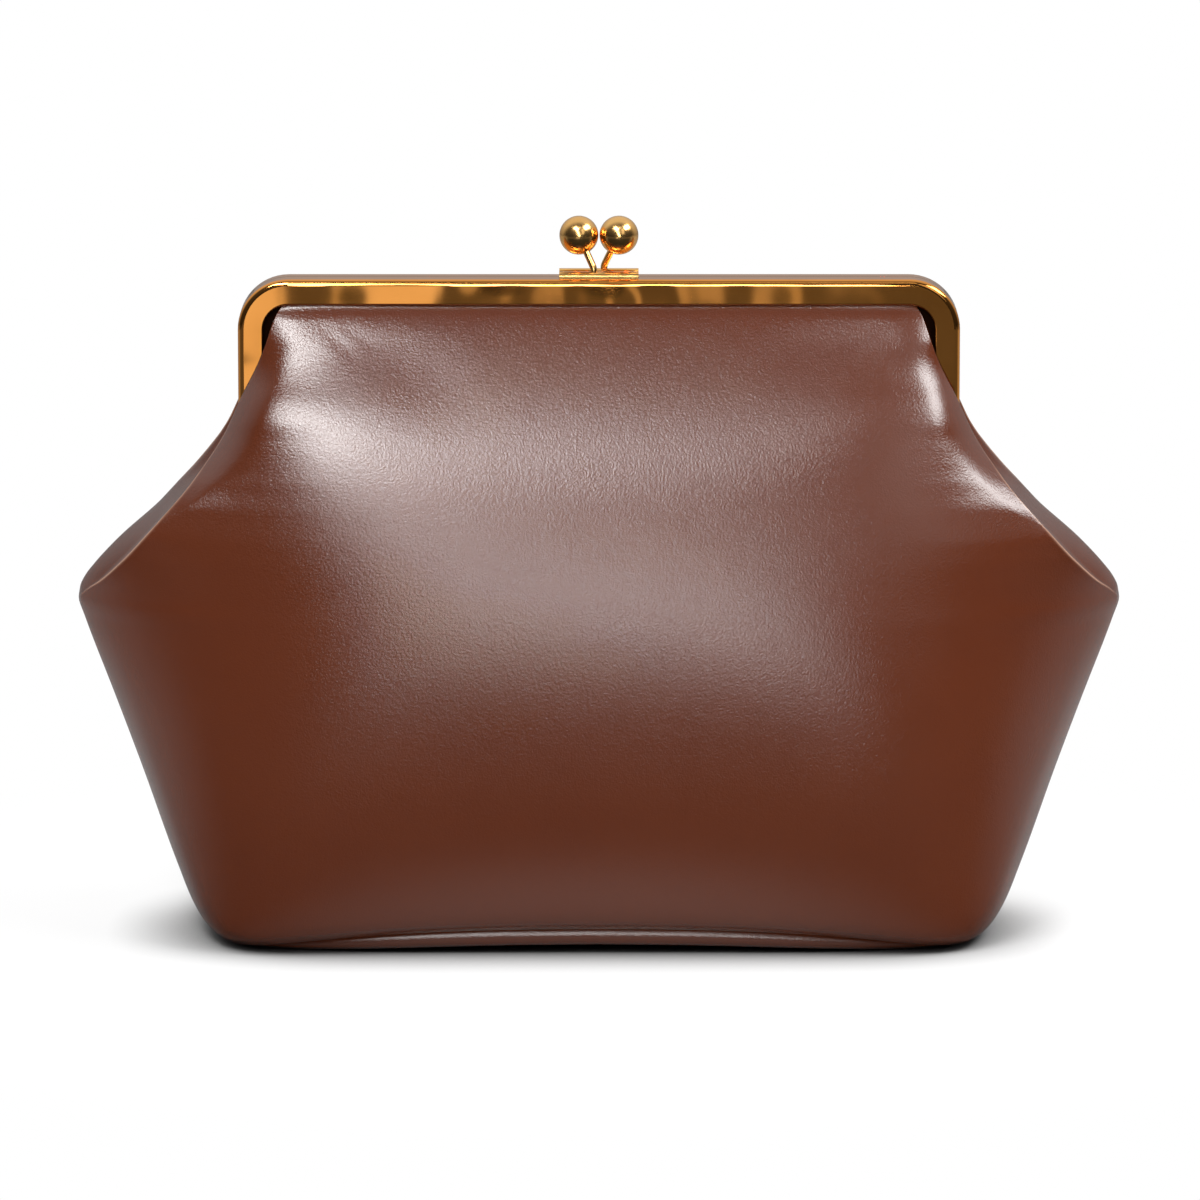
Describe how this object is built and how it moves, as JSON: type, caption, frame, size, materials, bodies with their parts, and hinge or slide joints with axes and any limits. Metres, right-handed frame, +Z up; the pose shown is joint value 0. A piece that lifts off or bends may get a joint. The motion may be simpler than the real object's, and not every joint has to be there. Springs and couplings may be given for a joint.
{
  "type": "kiss lock frame purse",
  "caption": "Soft leather clutch purse gathered into a hinged brass channel frame that closes with a ball kiss lock.",
  "frame": {"origin": "on the floor under the middle of the bag, bottom centre of the bounding box", "axes": "+X to the viewer's right along the frame, +Z up, the front of the bag faces -Y"},
  "size_m": [0.29, 0.095, 0.201],
  "materials": {
    "leather": "soft glossy, fine grain",
    "brass": "polished",
    "lining": "matte cloth",
    "board": "plain board",
    "paper_cord": "twisted paper"
  },
  "bodies": {
    "bag": {"front_panel": "leather", "back_panel": "leather", "left_gusset": "leather", "right_gusset": "leather", "base_panel": "leather", "base_board": "board", "lining_floor": "lining", "front_lining": "lining", "back_lining": "lining", "left_gusset_lining": "lining", "right_gusset_lining": "lining", "left_hinge_rivet": "brass", "right_hinge_rivet": "brass"},
    "front_half": {"front_frame": "brass", "front_clasp_plate": "brass", "front_clasp_stem": "brass", "front_clasp_ball": "brass", "front_paper_cord": "paper_cord", "front_panel_top": "leather", "front_lining_top": "lining"},
    "back_half": {"back_frame": "brass", "back_clasp_plate": "brass", "back_clasp_stem": "brass", "back_clasp_ball": "brass", "back_paper_cord": "paper_cord", "back_panel_top": "leather", "back_lining_top": "lining"}
  },
  "joints": [
    {"name": "front_hinge", "type": "hinge", "parent": "bag", "child": "front_half", "pos_m": [0, 0, 0.134], "axis": [1, 0, 0], "range_deg": [0, 45]},
    {"name": "back_hinge", "type": "hinge", "parent": "bag", "child": "back_half", "pos_m": [0, 0, 0.134], "axis": [-1, 0, 0], "range_deg": [0, 45]}
  ]
}
